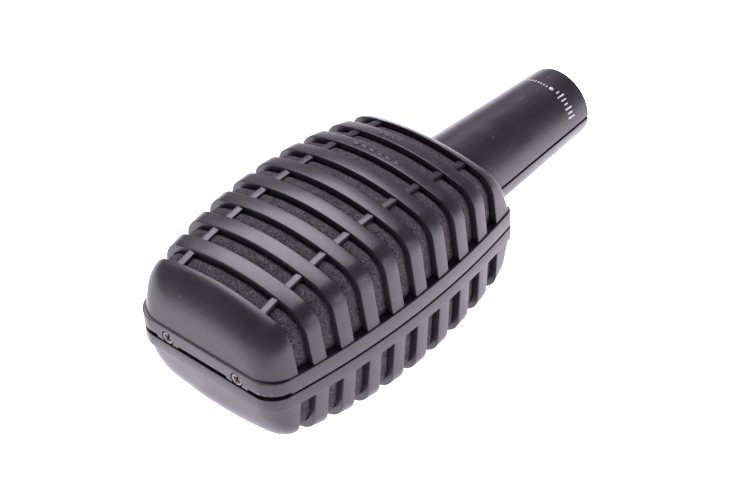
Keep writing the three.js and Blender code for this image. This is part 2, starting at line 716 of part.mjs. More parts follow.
addPiece(capsule, "rear_grid", perforatedDisc(clothBottom - FIT_GAP - GRID_THICKNESS), blackMetal);

addPiece(transformer, "transformer_core", transformerCore(), iron);
addPiece(transformer, "transformer_winding", transformerWinding(), copper);

const leadSides = [["hot", 1], ["cold", -1]];
for (const [name, side] of leadSides) {
  const fromCapsule = lead([
    [CAPSULE_X + HOUSING_RADIUS + 1, side * LEAD_Y, -7],
    [CAPSULE_X + HOUSING_RADIUS + 6, side * LEAD_Y, -8],
    [90, side * LEAD_Y, -5],
    [100, side * LEAD_Y, -3],
    [CORE_X - 1, side * LEAD_Y, -2],
  ]);
  addPiece(part, `capsule_lead_${name}`, fromCapsule, copper);
  const toPin = lead([
    [CORE_X + CORE_LENGTH + 1, side * LEAD_Y, 1],
    [CORE_X + CORE_LENGTH + 3, side * LEAD_Y, 1.5],
    [PIN_BACK_X - 2, side * PIN_CIRCLE, 0.5],
    [PIN_BACK_X - 0.8, side * PIN_CIRCLE, 0],
  ]);
  addPiece(part, `pin_lead_${name}`, toPin, copper);
}

addPiece(part, "inlet_insert", inletInsert(), blackPlastic);
pinPlaces().forEach(([y, z], index) => {
  addPiece(part, `contact_pin_${index + 1}`, contactPin(), gold).position.set(0, y, z);
});
addPiece(part, "ground_spring", groundSpring(), gold);

export default part;
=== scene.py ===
import json
import math

import bmesh
import bpy
from mathutils import Matrix, Vector, noise

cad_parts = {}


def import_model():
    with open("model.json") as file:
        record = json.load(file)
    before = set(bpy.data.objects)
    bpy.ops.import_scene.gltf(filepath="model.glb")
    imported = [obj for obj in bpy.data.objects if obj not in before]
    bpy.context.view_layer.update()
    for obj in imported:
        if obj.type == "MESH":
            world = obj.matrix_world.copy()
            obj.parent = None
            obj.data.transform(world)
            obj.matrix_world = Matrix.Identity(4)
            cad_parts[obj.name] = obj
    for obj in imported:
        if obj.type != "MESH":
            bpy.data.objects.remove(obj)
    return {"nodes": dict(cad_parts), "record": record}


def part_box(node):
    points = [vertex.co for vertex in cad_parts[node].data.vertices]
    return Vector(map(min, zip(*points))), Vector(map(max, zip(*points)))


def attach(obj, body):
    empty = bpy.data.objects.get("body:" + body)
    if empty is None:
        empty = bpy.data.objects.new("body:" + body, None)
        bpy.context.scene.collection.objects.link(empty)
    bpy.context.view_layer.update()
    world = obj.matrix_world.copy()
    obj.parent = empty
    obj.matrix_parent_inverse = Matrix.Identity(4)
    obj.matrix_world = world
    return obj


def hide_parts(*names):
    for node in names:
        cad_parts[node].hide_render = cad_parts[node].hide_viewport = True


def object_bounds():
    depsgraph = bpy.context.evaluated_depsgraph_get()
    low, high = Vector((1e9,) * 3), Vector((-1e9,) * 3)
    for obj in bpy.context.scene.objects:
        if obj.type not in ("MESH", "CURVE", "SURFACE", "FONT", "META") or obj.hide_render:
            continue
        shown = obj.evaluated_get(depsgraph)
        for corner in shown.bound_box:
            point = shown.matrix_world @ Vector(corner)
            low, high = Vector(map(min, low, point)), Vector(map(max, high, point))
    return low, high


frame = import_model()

cad_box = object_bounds()

# Everything below is drawn in millimetres in the maker's layout: x = 0 at the head's free end, +X
# along the handle, +Y across, +Z out through the front grille, z = 0 on the parting plane.
MM = 0.001
ORIGIN_X = cad_box[0].x / MM
PARTING_Z = (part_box("carrier_plate")[0].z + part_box("carrier_plate")[1].z) / 2 / MM
TOTAL_LENGTH = (cad_box[1].x - cad_box[0].x) / MM

HEAD_LENGTH = 103.0
HALF_SPAN = 60.0
HALF_WIDTH = 32.95
WIDEST_X = 53.7
WIDTH_BULGE = 7.31
CROWN_HEIGHT = 29.97
HIGHEST_X = 54.3
CROWN_BULGE = 11.26
CROWN_ARC = 83.0
FREE_DRAFT = math.radians(9.0)  # of the side walls, at the free end and at the neck
NECK_DRAFT = math.radians(4.0)
EDGE_RADIUS = 8.4
FREE_CORNER = 6.4
NECK_CORNER = 2.2
DOME_CORNER_EXTRA = 0.9
SMALLEST_CORNER = 0.5
FREE_ROLL = 8.0
NECK_ROLL = 2.5
FREE_LEAN = 0.16
NECK_LEAN = 0.27

WALL = 2.4
LEDGE = 0.5
FRONT_FLANGE = 5.7
REAR_FLANGE = 4.7
HEAD_GAP = 0.65
REBATE_INSET = 1.6
REBATE_HEIGHT = 1.2
END_RECESS_HEIGHT = 1.2
END_RECESS_LENGTH = 7.0
TAB_INNER = 9.7
TAB_OUTER = 18.0
FLANGE_INNER = 3.1
ROOT_DEPTH = 0.8  # how far ribs and caps run down into the flange

SLOTS = 9
FIRST_SLOT = 10.0
SLOT_WIDTH = 5.15
SLOT_PITCH = 9.88
LAST_SLOT_END = FIRST_SLOT + (SLOTS - 1) * SLOT_PITCH + SLOT_WIDTH
RUNG_INNER = 15.05
RUNG_WIDTH = 2.5
RUNG_RECESS = 2.2
RUNG_DEPTH = 1.3

HANDLE_END_RADIUS = 12.0
HANDLE_TAPER = 0.0495
HANDLE_WALL = 2.2
HANDLE_ROOT = 98.0
SOCKET_RADIUS = 9.7
SOCKET_STEP = 140.0

SCREW_Y = 13.8
SCREW_Z = 2.1
FOAM_INSET = 2.65
FOAM_THICKNESS = 4.2
FOAM_FOOT = 1.6
FOAM_SWELL = 1.3  # how far the foam stands up into the slots, over the crown
CAPSULE_X = 52.0
INSERT_BACK = 137.0
INSERT_STEP = 139.7
INSERT_FRONT = 146.0
PIN_RADIUS = 1.2
PIN_CIRCLE = 4.75
PIN_BACK = 133.0
PIN_TIP = 158.0
KEYWAY = 1.6
LUG_HALF_WIDTH = 3.3
LUG_BACK = 9.2
LUG_TOP = 4.4
LUG_FOOT = -8.0
HEAD_BORE = 12.8  # where the handle joins the head

# How finely curves are drawn, and the angle past which an edge stays crisp.
WALL_POINTS = 6
EDGE_POINTS = 12
CROWN_POINTS = 22
ROLL_STEPS = 10
CRISP_ANGLE = math.radians(38)
FOAM_CRISP_ANGLE = math.radians(60)


def place(point):
    """A point of the maker's layout, in the row frame's metres."""
    x, y, z = point
    return Vector((x + ORIGIN_X, y, z + PARTING_Z)) * MM


# Head surface ------------------------------------------------------------------------------------


def half_width(x):
    """The flange's half width at x."""
    return HALF_WIDTH - WIDTH_BULGE * ((x - WIDEST_X) / HALF_SPAN) ** 2


def crown_height(x):
    """Height of the crown's middle above the parting plane at x."""
    return CROWN_HEIGHT - CROWN_BULGE * ((x - HIGHEST_X) / HALF_SPAN) ** 2


def rounded_inset(distance, radius):
    """How far a corner of this radius has drawn in, at a distance from its end."""
    if distance >= radius:
        return 0.0
    distance = max(distance, 0.0)
    return radius - math.sqrt(radius**2 - (radius - distance) ** 2)


def lean(x, z, flange):
    """How far the end walls lean inwards at the height z."""
    rise = max(0.0, z - flange)
    free = max(0.0, 1 - x / FIRST_SLOT)
    neck = max(0.0, (x - LAST_SLOT_END) / (HEAD_LENGTH - LAST_SLOT_END))
    return rise * (FREE_LEAN * free - NECK_LEAN * neck)


def side_draft(x):
    return FREE_DRAFT + (NECK_DRAFT - FREE_DRAFT) * x / HEAD_LENGTH


def arch(width, height, radius, draft, foot, flange):
    """The head's cross-section from +Y over the crown to -Y: (y, z) points, always the same number."""
    inward = Vector((-math.cos(draft), -math.sin(draft)))
    upward = Vector((-math.sin(draft), math.cos(draft)))
    crown_centre = Vector((0, height - CROWN_ARC))
    start = Vector((width, flange)) + inward * radius
    offset = start - crown_centre
    along = offset.dot(upward)
    reach = (CROWN_ARC - radius) ** 2 - offset.length_squared + along**2
    centre = start + upward * (math.sqrt(max(reach, 0)) - along)
    top_angle = math.atan2(centre.y - crown_centre.y, centre.x)
    wall_top = centre - inward * radius
    points = [(width, foot)]
    for i in range(WALL_POINTS):
        t = i / WALL_POINTS
        points.append((width + (wall_top.x - width) * t, flange + (wall_top.y - flange) * t))
    for i in range(EDGE_POINTS):
        a = draft + (top_angle - draft) * i / EDGE_POINTS
        points.append((centre.x + radius * math.cos(a), centre.y + radius * math.sin(a)))
    for i in range(CROWN_POINTS + 1):
        a = top_angle + (math.pi / 2 - top_angle) * i / CROWN_POINTS
        points.append((CROWN_ARC * math.cos(a), crown_centre.y + CROWN_ARC * math.sin(a)))
    far = [(-y, z) for y, z in reversed(points[:-1])]
    return points + far


def head_row(x, inset, flange, start_inset=None, shrink=1.0, foot=None):
    """One cross-section of the head at x, moved in by inset. shrink below 1 draws it on an end wall."""
    ends = inset if start_inset is None else start_inset
    start = LEDGE + ends
    end = HEAD_LENGTH - LEDGE - ends
    free_corner = FREE_CORNER + DOME_CORNER_EXTRA - min(ends, WALL)
    neck_corner = max(NECK_CORNER - ends, SMALLEST_CORNER)
    free_roll = max(FREE_ROLL - ends, 1.0)
    neck_roll = max(NECK_ROLL - ends, 1.0)
    corner = rounded_inset(x - start, free_corner) + rounded_inset(end - x, neck_corner)
    roll = rounded_inset(x - start, free_roll) + rounded_inset(end - x, neck_roll)
    foot = flange - ROOT_DEPTH if foot is None else foot
    radius = max(EDGE_RADIUS - inset * 0.8, 2.0)
    width = half_width(x) - LEDGE - inset - corner
    height = crown_height(x) - inset - roll
    section = arch(width, height, radius, side_draft(x), foot, flange)
    row = []
    for y, z in section:
        z = foot + (z - foot) * shrink
        row.append((x + lean(x, z, flange), y * shrink, z))
    return row


# Mesh making -------------------------------------------------------------------------------------


def new_object(name, points, faces):
    mesh = bpy.data.meshes.new(name)
    mesh.from_pydata([place(p) for p in points], [], faces)
    mesh.validate()
    made = bpy.data.objects.new(name, mesh)
    bpy.context.scene.collection.objects.link(made)
    return made


def clean(made, merge=1e-7):
    """Merges doubled points, drops collapsed faces and turns every face outwards."""
    work = bmesh.new()
    work.from_mesh(made.data)
    bmesh.ops.remove_doubles(work, verts=work.verts, dist=merge)
    bmesh.ops.dissolve_degenerate(work, edges=work.edges, dist=merge)
    bmesh.ops.recalc_face_normals(work, faces=work.faces)
    work.to_mesh(made.data)
    work.free()
    return made


def loft(name, rows, caps=True):
    """Joins closed rows of equal length into a tube; caps closes both ends."""
    count = len(rows[0])
    points = [p for row in rows for p in row]
    faces = []
    for r in range(len(rows) - 1):
        for c in range(count):
            d = (c + 1) % count
            faces.append((r * count + c, r * count + d, (r + 1) * count + d, (r + 1) * count + c))
    if caps:
        faces.append(tuple(range(count))[::-1])
        last = (len(rows) - 1) * count
        faces.append(tuple(range(last, last + count)))
    return clean(new_object(name, points, faces))


def arched_solid(name, rows):
    """Rows are open arcs that stand on the flange; their feet are closed by one flat face."""
    count = len(rows[0])
    points = [p for row in rows for p in row]
    faces = []
    for r in range(len(rows) - 1):
        for c in range(count - 1):
            faces.append((r * count + c, r * count + c + 1, (r + 1) * count + c + 1, (r + 1) * count + c))
    near = [r * count for r in range(len(rows))]
    far = [r * count + count - 1 for r in reversed(range(len(rows)))]
    faces.append(tuple(near + far))
    return clean(new_object(name, points, faces))


def box_solid(name, low, high):
    corners = [(x, y, z) for x in (low[0], high[0]) for y in (low[1], high[1]) for z in (low[2], high[2])]
    faces = [(0, 1, 3, 2), (4, 6, 7, 5), (0, 4, 5, 1), (2, 3, 7, 6), (0, 2, 6, 4), (1, 5, 7, 3)]
    return clean(new_object(name, corners, faces))


def turned(name, profile, sides=64, centre=(0, 0, 0)):
    """A closed (x, radius) profile turned about the line along +X through centre."""
    rows = []
    for i in range(sides):
        a = 2 * math.pi * i / sides
        row = []
        for along, radius in profile:
            u, v = radius * math.cos(a), radius * math.sin(a)
            row.append((centre[0] + along, centre[1] + u, centre[2] + v))
        rows.append(row)
    rows.append(rows[0])
    return loft(name, rows, caps=False)


def rounded_corner(corner, before, after, radius, steps=3):
    """Points that round a corner of a 2-D outline, from the side of before to the side of after."""
    corner, before, after = Vector(corner), Vector(before), Vector(after)
    first = (before - corner).normalized()
    last = (after - corner).normalized()
    half = first.angle(last) / 2
    reach = radius / math.tan(half)
    centre = corner + (first + last).normalized() * radius / math.sin(half)
    start = corner + first * reach - centre
    end = corner + last * reach - centre
    points = []
    for i in range(steps + 1):
        t = i / steps
        total = start.angle(end)
        w = (math.sin((1 - t) * total) / math.sin(total), math.sin(t * total) / math.sin(total))
        points.append(tuple(centre + start * w[0] + end * w[1]))
    return points


def rounded_outline(corners, radii, steps=3):
    points = []
    for i, corner in enumerate(corners):
        if radii[i] <= 0:
            points.append(tuple(corner))
            continue
        points += rounded_corner(corner, corners[i - 1], corners[(i + 1) % len(corners)], radii[i], steps)
    return points


def combine(target, others, operation):
    """Applies one boolean after another and removes the pieces used up."""
    for other in others:
        step = target.modifiers.new("join", "BOOLEAN")
        step.operation = operation
        step.solver = "MANIFOLD"
        step.object = other
        with bpy.context.temp_override(object=target, active_object=target):
            bpy.ops.object.modifier_apply(modifier=step.name)
        used = other.data
        bpy.data.objects.remove(other)
        bpy.data.meshes.remove(used)
    return target


def flip_to_rear(made):
    """Turns a piece half a turn about the handle's axis, so a front half becomes a rear half."""
    pivot = place((0, 0, 0)).z
    for v in made.data.vertices:
        v.co = Vector((v.co.x, -v.co.y, 2 * pivot - v.co.z))
    return made


def soften(made, angle):
    """Smooth shading, with edges sharper than the angle kept crisp."""
    made.data.shade_smooth()
    made.data.set_sharp_from_angle(angle=angle)
    return made


def dress(made, *materials):
    """Gives a piece its materials and puts every face in the first of them."""
    made.data.materials.clear()
    for each in materials:
        made.data.materials.append(each)
    for face in made.data.polygons:
        face.material_index = 0
    return made


# Shells ------------------------------------------------------------------------------------------

RIB_EDGE = 0.32
RIB_INNER_EDGE = 0.2


def rib(index, flange):
    """One rib, from flange to flange over the crown."""
    x0 = FIRST_SLOT + SLOT_WIDTH + index * SLOT_PITCH
    x1 = FIRST_SLOT + (index + 1) * SLOT_PITCH
    corners = [(x0, 0), (x1, 0), (x1, WALL), (x0, WALL)]
    outline = rounded_outline(corners, [RIB_EDGE, RIB_EDGE, RIB_INNER_EDGE, RIB_INNER_EDGE], 4)
    arcs = [head_row(x, inset, flange) for x, inset in outline]
    rows = [list(ring) for ring in zip(*arcs)]
    return loft(f"rib_{index}", rows)


def free_cap(flange):
    """The closed cap at the free end: end wall, roll, crown, slot wall and its inside."""
    rows = []
    start = LEDGE
    for i in range(7):
        rows.append(head_row(start, 0, flange, shrink=i / 6))
    for i in range(1, ROLL_STEPS + 1):
        share = 1 - math.cos(i / ROLL_STEPS * math.pi / 2)
        rows.append(head_row(start + (FREE_CORNER + DOME_CORNER_EXTRA) * share, 0, flange))
    edge = rounded_corner((FIRST_SLOT, 0), (0, 0), (FIRST_SLOT, WALL), RIB_EDGE, 4)
    rows += [head_row(x, inset, flange, start_inset=0) for x, inset in edge]
    edge = rounded_corner((FIRST_SLOT, WALL), (FIRST_SLOT, 0), (0, WALL), RIB_INNER_EDGE, 3)
    rows += [head_row(x, inset, flange, start_inset=0) for x, inset in edge]
    for i in range(5, -1, -1):
        share = 1 - math.cos(i / 5 * math.pi / 2)
        rows.append(head_row(start + WALL + 5 * share, WALL, flange))
    rows.append(head_row(start + WALL, WALL, flange, shrink=0))
    return arched_solid("free_cap", rows)


def neck_rim(flange):
    """The rim after the last slot and the wall that the handle grows out of."""
    end = HEAD_LENGTH - LEDGE
    rows = []
    for i in range(7):
        rows.append(head_row(end, 0, flange, shrink=i / 6))
    for i in range(1, ROLL_STEPS + 1):
        share = 1 - math.cos(i / ROLL_STEPS * math.pi / 2)
        rows.append(head_row(end - NECK_ROLL * share, 0, flange))
    edge = rounded_corner((LAST_SLOT_END, 0), (HEAD_LENGTH, 0), (LAST_SLOT_END, WALL), RIB_EDGE, 4)
    rows += [head_row(x, inset, flange, start_inset=0) for x, inset in edge]
    edge = rounded_corner((LAST_SLOT_END, WALL), (LAST_SLOT_END, 0), (HEAD_LENGTH, WALL), RIB_INNER_EDGE, 3)
    rows += [head_row(x, inset, flange, start_inset=0) for x, inset in edge]
    for i in range(3, -1, -1):
        share = 1 - math.cos(i / 3 * math.pi / 2)
        rows.append(head_row(end - WALL - 3 * share, WALL, flange))
    rows.append(head_row(end - WALL, WALL, flange, shrink=0))
    return arched_solid("neck_rim", rows)


def plan_loop(inset):
    """The flange's plan outline, anticlockwise from above, moved in by inset."""
    free = max(FREE_CORNER - inset, SMALLEST_CORNER)
    neck = max(NECK_CORNER - inset, SMALLEST_CORNER)
    end = HEAD_LENGTH - inset
    side = []
    for i in range(13):
        a = i / 12 * math.pi / 2
        x = inset + free * (1 - math.cos(a))
        side.append((x, half_width(x) - inset - free * (1 - math.sin(a))))
    for i in range(1, 32):
        x = inset + free + (end - neck - inset - free) * i / 32
        side.append((x, half_width(x) - inset))
    for i in range(12, -1, -1):
        a = i / 12 * math.pi / 2
        x = end - neck * (1 - math.cos(a))
        side.append((x, half_width(x) - inset - neck * (1 - math.sin(a))))
    return [(x, -y) for x, y in side] + list(reversed(side))


def flange_ring(flange):
    """The flange round the parting plane, with a rebate for the carrier plate."""
    bottom = HEAD_GAP / 2
    corners = [
        (0, bottom),
        (0, flange),
        (FLANGE_INNER, flange),
        (FLANGE_INNER, REBATE_HEIGHT),
        (REBATE_INSET, REBATE_HEIGHT),
        (REBATE_INSET, bottom),
    ]
    outline = rounded_outline(corners, [0.25, 0.3, 0.2, 0, 0, 0.1], 3)
    loops = [[(x, y, z) for x, y in plan_loop(inset)] for inset, z in outline]
    rows = [list(ring) for ring in zip(*loops)]
    rows.append(rows[0])
    return loft("flange", rows, caps=False)


def rung(y, grow=0.0):
    """A bar that runs along the head under the ribs; grow makes it a cutter with room to spare."""
    low, high, deep = -grow, RUNG_WIDTH + grow, -RUNG_DEPTH - grow
    corners = [(low, grow), (high, grow), (high, deep), (low, deep)]
    outline = rounded_outline(corners, [0.3, 0.3, 0.2, 0.2], 3)
    rows = []
    start, end = FIRST_SLOT - 1.2, LAST_SLOT_END + 1.2
    for i in range(61):
        x = start + (end - start) * i / 60
        top = crown_height(x) - RUNG_RECESS
        rows.append([(x, y + a, top + b) for a, b in outline])
    return loft("rung", rows)


def handle_radius(x):
    return HANDLE_END_RADIUS + HANDLE_TAPER * (TOTAL_LENGTH - x)


def handle_half(foot, lip):
    """Half a tapered tube down to foot, with an inner lip that runs on to the height lip."""
    edge = 0.7  # rounding of the open end
    mouth = 0.35  # chamfer inside the open end
    seam = 0.16  # rounding of the outer edge along the seam
    lip_inset = 0.75
    stations = []
    for i in range(25):
        x = HANDLE_ROOT + (SOCKET_STEP - HANDLE_ROOT) * i / 24
        stations.append((x, handle_radius(x), handle_radius(x) - HANDLE_WALL))
    stations.append((SOCKET_STEP + 0.01, handle_radius(SOCKET_STEP), SOCKET_RADIUS))
    for i in range(1, 9):
        x = SOCKET_STEP + (TOTAL_LENGTH - edge - SOCKET_STEP) * i / 8
        stations.append((x, handle_radius(x), SOCKET_RADIUS))
    for i in range(1, 6):
        a = i / 5 * math.pi / 2
        x = TOTAL_LENGTH - edge + edge * math.sin(a)
        bore = SOCKET_RADIUS + max(0.0, mouth - (TOTAL_LENGTH - x))
        stations.append((x, handle_radius(x) - edge * (1 - math.cos(a)), bore))
    rows = []
    for x, outer, inner in stations:
        first = math.asin((foot + seam) / outer)
        last = math.asin(lip / inner)
        side = [(outer - lip_inset, lip), (outer - lip_inset, foot), (outer - seam * 1.2, foot)]
        row = [(x, y, z) for y, z in side]
        for i in range(49):
            a = first + (math.pi - 2 * first) * i / 48
            row.append((x, outer * math.cos(a), outer * math.sin(a)))
        row += [(x, -y, z) for y, z in reversed(side)]
        for i in range(49):
            a = math.pi - last - (math.pi - 2 * last) * i / 48
            row.append((x, inner * math.cos(a), inner * math.sin(a)))
        rows.append(row)
    return loft("handle", rows)


def screw_cutter(y):
    profile = [(-3, 0), (-3, 2.35), (0.05, 2.35), (0.35, 2.2), (1.55, 1.25), (12, 1.25), (12, 0)]
    return turned("screw_hole", profile, 40, (0, y, SCREW_Z))


def half_shell(name, flange, foot, lip):
    shell = flange_ring(flange)
    parts = [free_cap(flange), neck_rim(flange)]
    parts += [rib(i, flange) for i in range(SLOTS - 1)]
    parts += [rung(RUNG_INNER), rung(-RUNG_INNER - RUNG_WIDTH)]
    combine(shell, parts, "UNION")
    bore = turned(
        "bore",
        [(HANDLE_ROOT - 5, 0), (HANDLE_ROOT - 5, HEAD_BORE), (HEAD_LENGTH + 4, 12.4), (HEAD_LENGTH + 4, 0)],
        64,
    )
    combine(shell, [bore], "DIFFERENCE")
    combine(shell, [handle_half(foot, lip)], "UNION")
    shell.name = shell.data.name = name
    return shell


def front_shell():
    shell = half_shell("front_shell_fine", FRONT_FLANGE, -0.12, -0.12)
    wide = HALF_WIDTH + 3
    cutters = []
    for low, high in ((-wide, -TAB_OUTER), (-TAB_INNER, TAB_INNER), (TAB_OUTER, wide)):
        cutters.append(box_solid("recess", (-2, low, -2), (END_RECESS_LENGTH, high, END_RECESS_HEIGHT)))
    cutters += [screw_cutter(y) for y in (SCREW_Y, -SCREW_Y)]
    return combine(shell, cutters, "DIFFERENCE")


def rear_shell():
    shell = flip_to_rear(half_shell("rear_shell_fine", REAR_FLANGE, 0.95, 0.2))
    clean(shell)
    lugs = []
    for y in (SCREW_Y, -SCREW_Y):
        low, high = y - LUG_HALF_WIDTH, y + LUG_HALF_WIDTH
        lugs.append(box_solid("foot", (1.5, low, LUG_FOOT), (LUG_BACK, high, -REBATE_HEIGHT)))
        lugs.append(box_solid("post", (3.2, low, LUG_FOOT + 0.1), (LUG_BACK, high, LUG_TOP)))
    combine(shell, lugs, "UNION")
    return combine(shell, [screw_cutter(y) for y in (SCREW_Y, -SCREW_Y)], "DIFFERENCE")


# Foam --------------------------------------------------------------------------------------------


def swell(x):
    """The share of the full swell that the foam has at x: none under a rib, most in mid-slot."""
    along = (x - FIRST_SLOT) % SLOT_PITCH
    if x < FIRST_SLOT or x > LAST_SLOT_END or along > SLOT_WIDTH:
        return 0.0
    return 1 - abs(2 * along / SLOT_WIDTH - 1) ** 3


def foam_row(x, flange, shrink=1.0):
    low = head_row(x, FOAM_INSET, flange, shrink=shrink, foot=FOAM_FOOT)
    high = head_row(x, FOAM_INSET - 1, flange, FOAM_INSET, shrink, FOAM_FOOT)
    row = []
    for a, b in zip(low, high):
        rise = min(max((a[2] - flange) / 3, 0), 1)
        crown = min(max((a[2] - 18) / 5, 0), 1)
        share = swell(x) * FOAM_SWELL * rise * (0.5 + 0.5 * crown)
        row.append(tuple(Vector(a).lerp(Vector(b), share)))
    return row


def foam_dome(flange):
    """The solid outer form of a liner, drawn finely enough to take its dimples."""
    start = LEDGE + FOAM_INSET
    end = HEAD_LENGTH - start
    places = [start + 5 * (1 - math.cos(i / 6 * math.pi / 2)) for i in range(7)]
    steps = round((end - places[-1]) / 0.8)
    places += [places[-1] + (end - places[-1]) * i / steps for i in range(1, steps + 1)]
    rows = [foam_row(start, flange, i / 10) for i in range(10)]
    rows += [foam_row(x, flange) for x in places]
    rows += [foam_row(end, flange, i / 10) for i in reversed(range(10))]
    return arched_solid("foam_dome", rows)


def hollow_dome(flange):
    """The space inside a liner."""
    inset = FOAM_INSET + FOAM_THICKNESS
    start = LEDGE + inset
    end = HEAD_LENGTH - start
    rows = [head_row(start, inset, flange, shrink=0, foot=-5)]
    for i in range(31):
        rows.append(head_row(start + (end - start) * i / 30, inset, flange, foot=-5))
    rows.append(head_row(end, inset, flange, shrink=0, foot=-5))
    return arched_solid("hollow", rows)


def foam(name, flange):
    """An open-cell liner: a dimpled skin outside, hollow inside, cut for rungs, lugs and the neck."""
    made = foam_dome(flange)
    work = bmesh.new()
    work.from_mesh(made.data)
    bmesh.ops.subdivide_edges(work, edges=work.edges, cuts=1, use_grid_fill=True)
    bmesh.ops.triangulate(work, faces=[f for f in work.faces if len(f.verts) > 4])
    work.normal_update()
    for v in work.verts:
        fine = noise.noise(v.co / (0.8 * MM))
        broad = noise.noise(v.co / (6 * MM))
        v.co += v.normal * MM * (0.1 * (fine - 0.6) + 0.06 * (broad - 0.6))
    work.to_mesh(made.data)
    work.free()
    made.name = made.data.name = name
    cutters = [hollow_dome(flange)]
    for y in (SCREW_Y, -SCREW_Y):
        low, high = y - LUG_HALF_WIDTH - 0.4, y + LUG_HALF_WIDTH + 0.4
        cutters.append(box_solid("lug_pocket", (-1, low, -2), (LUG_BACK + 0.4, high, 0.4 - LUG_FOOT)))
    for y in (RUNG_INNER, -RUNG_INNER - RUNG_WIDTH):
        cutters.append(rung(y, 0.08))
    neck = [(HALF_SPAN, 0), (HALF_SPAN, 12.7), (HEAD_LENGTH + 2, 12.7), (HEAD_LENGTH + 2, 0)]
    cutters.append(turned("neck_hole", neck, 48))
    return combine(made, cutters, "DIFFERENCE")


# Screws, inlet and contacts ----------------------------------------------------------------------


def arc(centre, radius, first, last, steps=5):
    """Points on an arc, angles in degrees."""
    points = []
    for i in range(steps + 1):
        a = math.radians(first + (last - first) * i / steps)
        points.append((centre[0] + radius * math.cos(a), centre[1] + radius * math.sin(a)))
    return points


def cross_cutter(y):
    """The tapered cross recess of a screw head that faces -X."""
    deep, wide_top, wide_deep = 1.15, 0.34, 0.14
    arms = []
    for turn in (0.35, 0.35 + math.pi / 2):
        rows = []
        for x, reach, half in ((-0.6, 1.5, wide_top), (0.3, 1.3, wide_top), (deep, 0.3, wide_deep)):
            row = []
            for a, b in ((reach, half), (-reach, half), (-reach, -half), (reach, -half)):
                u = a * math.cos(turn) - b * math.sin(turn)
                v = a * math.sin(turn) + b * math.cos(turn)
                row.append((x, y + u, SCREW_Z + v))
            rows.append(row)
        arms.append(loft("arm", rows))
    return combine(arms[0], arms[1:], "UNION")


def screw(name, y):
    """A countersunk screw with its thread, drawn as separate grooves."""
    profile = [(0.2, 0), (0.22, 0.8), (0.28, 1.2), (0.3, 1.4), (0.22, 1.52)]
    profile += arc((0.26, 1.72), 0.14, 180, 90, 4)
    profile += [(0.55, 1.84), (1.35, 1.0)]
    pitch = 0.5
    for i in range(13):
        x = 1.5 + i * pitch
        profile += [(x, 1.0), (x + 0.1, 0.98), (x + 0.25, 0.8), (x + 0.4, 0.98)]
    profile += [(8.0, 0.95), (8.2, 0.7), (8.2, 0)]
    made = turned(name, profile, 48, (0, y, SCREW_Z))
    return combine(made, [cross_cutter(y)], "DIFFERENCE")


def inlet_insert():
    """The moulded disc that holds the contacts, with its keyway."""
    flange = handle_radius(SOCKET_STEP) - HANDLE_WALL - 0.3
    nose = SOCKET_RADIUS - 0.3
    profile = [(INSERT_BACK, 0), (INSERT_BACK, flange - 0.3), (INSERT_BACK + 0.3, flange)]
    profile += [(INSERT_STEP, flange), (INSERT_STEP, nose)]
    profile += arc((INSERT_FRONT - 0.6, nose - 0.6), 0.6, 90, 0)
    profile += [(INSERT_FRONT, 8.2), (INSERT_FRONT - 0.5, 8.0), (INSERT_FRONT - 0.5, 0)]
    made = turned("inlet_insert_fine", profile, 96)
    cutters = []
    for y, z in pin_places():
        hole = [(INSERT_BACK - 2, 0), (INSERT_BACK - 2, PIN_RADIUS + 0.12)]
        hole += [(INSERT_FRONT - 1, PIN_RADIUS + 0.12), (INSERT_FRONT - 0.5, PIN_RADIUS + 0.45)]
        hole += [(INSERT_FRONT + 1, PIN_RADIUS + 0.45), (INSERT_FRONT + 1, 0)]
        cutters.append(turned("pin_hole", hole, 32, (0, y, z)))
    low = (SOCKET_STEP, -KEYWAY / 2, nose - KEYWAY)
    cutters.append(box_solid("keyway", low, (TOTAL_LENGTH, KEYWAY / 2, nose + 2)))
    return combine(made, cutters, "DIFFERENCE")


def pin_places():
    angles = (0, math.pi, -math.pi / 2)
    return [(PIN_CIRCLE * math.cos(a), PIN_CIRCLE * math.sin(a)) for a in angles]


def contact_pin(name, y, z):
    """A round contact with a solder tail and a rounded tip."""
    profile = [(PIN_BACK, 0), (PIN_BACK, 0.8), (PIN_BACK + 2.6, 0.8), (PIN_BACK + 2.6, PIN_RADIUS)]
    profile += arc((PIN_TIP - 1.1, PIN_RADIUS - 1.1), 1.1, 90, 15, 7)
    profile.append((PIN_TIP, 0))
    return turned(name, profile, 40, (0, y, z))


# Generic marks: printed bars and a dot, raised pills ---------------------------------------------


def on_handle(x, arc_length, lift):
    """A point over the front half of the handle, arc_length from its top towards -Y."""
    radius = handle_radius(x)
    a = math.pi / 2 + arc_length / radius
    return (x, (radius + lift) * math.cos(a), (radius + lift) * math.sin(a))


def rounded_rectangle(length, width, corner, steps):
    u, v = length / 2, width / 2
    return rounded_outline([(-u, -v), (u, -v), (u, v), (-u, v)], [corner] * 4, steps)


def ink_bar(x, across, length, width):
    outline = rounded_rectangle(length, width, min(length, width) * 0.45, 3)
    rows = [[on_handle(x + u, across + v, lift) for u, v in outline] for lift in (-0.05, 0.02)]
    return loft("ink", rows)


def raised_pill(x, y, length, width):
    """A low pill on the crown of a rib."""
    outline = rounded_rectangle(width, length, width * 0.42, 4)
    rows = []
    for grow, lift in ((0.0, -0.4), (0.0, 0.12), (-0.12, 0.2)):
        row = []
        for u, v in outline:
            px, py = x + u * (1 + grow / (width / 2)), y + v * (1 + grow / (length / 2))
            surface = crown_height(px) - CROWN_ARC + math.sqrt(CROWN_ARC**2 - py**2)
            row.append((px, py, surface + lift))
        rows.append(row)
    return loft("pill", rows)


